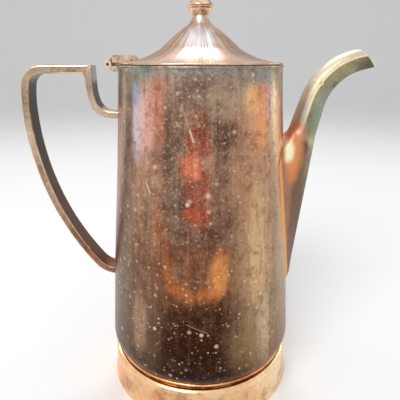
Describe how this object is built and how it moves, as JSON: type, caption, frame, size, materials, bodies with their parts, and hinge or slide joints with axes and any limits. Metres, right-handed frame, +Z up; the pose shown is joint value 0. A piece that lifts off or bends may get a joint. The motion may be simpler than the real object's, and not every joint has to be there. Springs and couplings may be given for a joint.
{
  "type": "coffee pot",
  "caption": "Tall tapered metal coffee pot on a flared foot, with a hinged domed lid, a swan-neck spout and a square-topped strap handle.",
  "frame": {"origin": "centre of the foot's circle, on the table", "axes": "+Z up, +X towards the spout, -X towards the handle"},
  "size_m": [0.1974, 0.1176, 0.2399],
  "materials": {
    "body_plate": "tarnished silver plate over copper, brown and copper-red with a thin bluish bloom, semi-gloss",
    "foot_plate": "worn silver plate with bright copper showing, polished",
    "trim_plate": "worn silver plate, polished",
    "spout_plate": "tarnished silver plate, semi-gloss",
    "handle_plate": "tarnished silver plate, bronze turning copper-red at the foot, semi-gloss",
    "lid_plate": "spun silver plate with light tarnish, semi-gloss",
    "lid_inside": "silver plate, dull",
    "finial_plate": "tarnished silver plate, semi-gloss",
    "hinge_plate": "tarnished silver plate, semi-gloss",
    "pin_brass": "plain brass, dull"
  },
  "bodies": {
    "pot": {"body_shell": "body_plate", "body_bottom": "body_plate", "mouth_wire": "trim_plate", "foot_skirt": "foot_plate", "foot_edge_wire": "foot_plate", "foot_bead": "trim_plate", "spout_left_half": "spout_plate", "spout_right_half": "spout_plate", "handle_bow": "handle_plate", "handle_scroll": "handle_plate", "hinge_body_leaf": "hinge_plate", "hinge_pin": "pin_brass"},
    "lid": {"lid_shell": "lid_plate", "lid_edge_wire": "lid_plate", "lid_bezel": "lid_inside", "hinge_lid_leaf": "hinge_plate", "finial_cup": "finial_plate", "finial_cap": "finial_plate", "finial_stud": "pin_brass", "finial_washer": "pin_brass", "finial_nut": "pin_brass"}
  },
  "joints": [
    {"name": "lid_hinge", "type": "hinge", "parent": "pot", "child": "lid", "pos_m": [-0.0496, 0, 0.1974], "axis": [0, -1, 0], "range_deg": [0, 100]}
  ]
}
